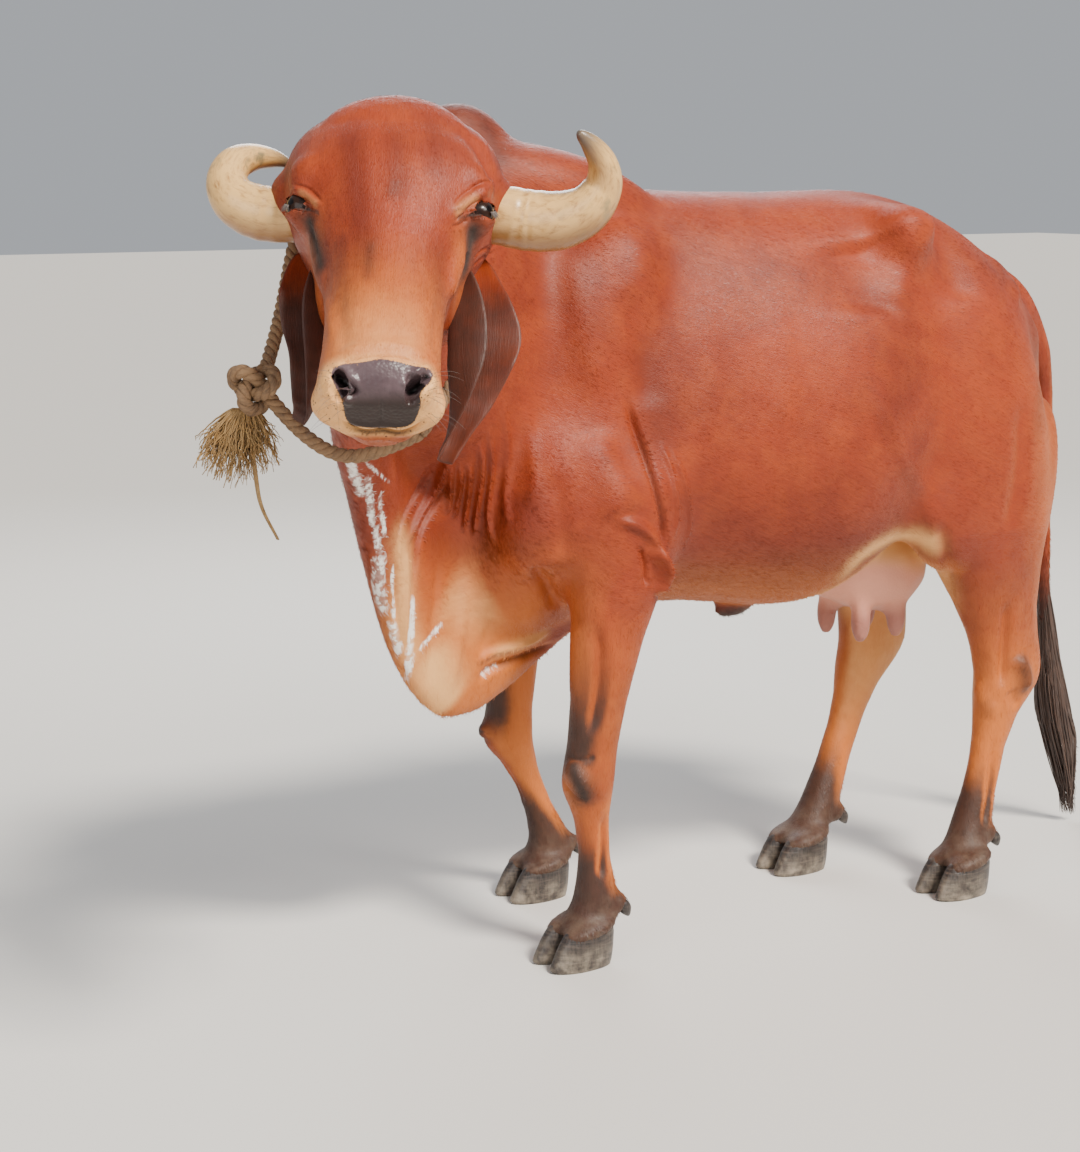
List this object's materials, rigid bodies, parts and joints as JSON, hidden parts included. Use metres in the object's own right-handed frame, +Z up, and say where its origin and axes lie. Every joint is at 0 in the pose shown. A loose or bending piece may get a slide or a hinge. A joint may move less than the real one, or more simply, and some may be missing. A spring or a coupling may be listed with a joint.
{
  "type": "gir cow, standing, life-size still model",
  "caption": "Standing Gir cow with a domed forehead, half-moon horns, long folded ears, hump, dewlap and udder, in a rope collar.",
  "frame": {"origin": "middle of the footprint of the bounding box, on the floor that the hooves stand on", "axes": "+Z up, -Y the way the body faces, +X to the animal's left; the head is turned to the left"},
  "size_m": [1.1014, 2.0786, 1.4286],
  "materials": {
    "coat": "short glossy chestnut-red hair, tan below, with brown-black feet",
    "bare_skin": "bare pink-cream skin",
    "horn": "polished ivory horn with dark tips",
    "hoof": "dusty grey-black horn",
    "eye": "wet dark brown eye",
    "tail_hair": "long black-brown hair",
    "rope": "twisted plant-fibre rope with frayed ends"
  },
  "bodies": {
    "root": {"dewlap": "coat", "head": "coat", "hump": "coat", "left_ear": "coat", "left_eye": "eye", "left_fore_inner_claw": "hoof", "left_fore_inner_dewclaw": "hoof", "left_fore_lower": "coat", "left_fore_outer_claw": "hoof", "left_fore_outer_dewclaw": "hoof", "left_fore_upper": "coat", "left_hind_inner_claw": "hoof", "left_hind_inner_dewclaw": "hoof", "left_hind_lower": "coat", "left_hind_outer_claw": "hoof", "left_hind_outer_dewclaw": "hoof", "left_hind_upper": "coat", "left_horn": "horn", "navel_flap": "bare_skin", "neck": "coat", "right_ear": "coat", "right_eye": "eye", "right_fore_inner_claw": "hoof", "right_fore_inner_dewclaw": "hoof", "right_fore_lower": "coat", "right_fore_outer_claw": "hoof", "right_fore_outer_dewclaw": "hoof", "right_fore_upper": "coat", "right_hind_inner_claw": "hoof", "right_hind_inner_dewclaw": "hoof", "right_hind_lower": "coat", "right_hind_outer_claw": "hoof", "right_hind_outer_dewclaw": "hoof", "right_hind_upper": "coat", "right_horn": "horn", "rope_knot": "rope", "rope_left": "rope", "rope_right": "rope", "rope_throat": "rope", "rope_tuft": "rope", "tail": "coat", "tail_lower": "coat", "tail_switch": "tail_hair", "torso": "coat", "udder": "bare_skin"}
  },
  "joints": []
}
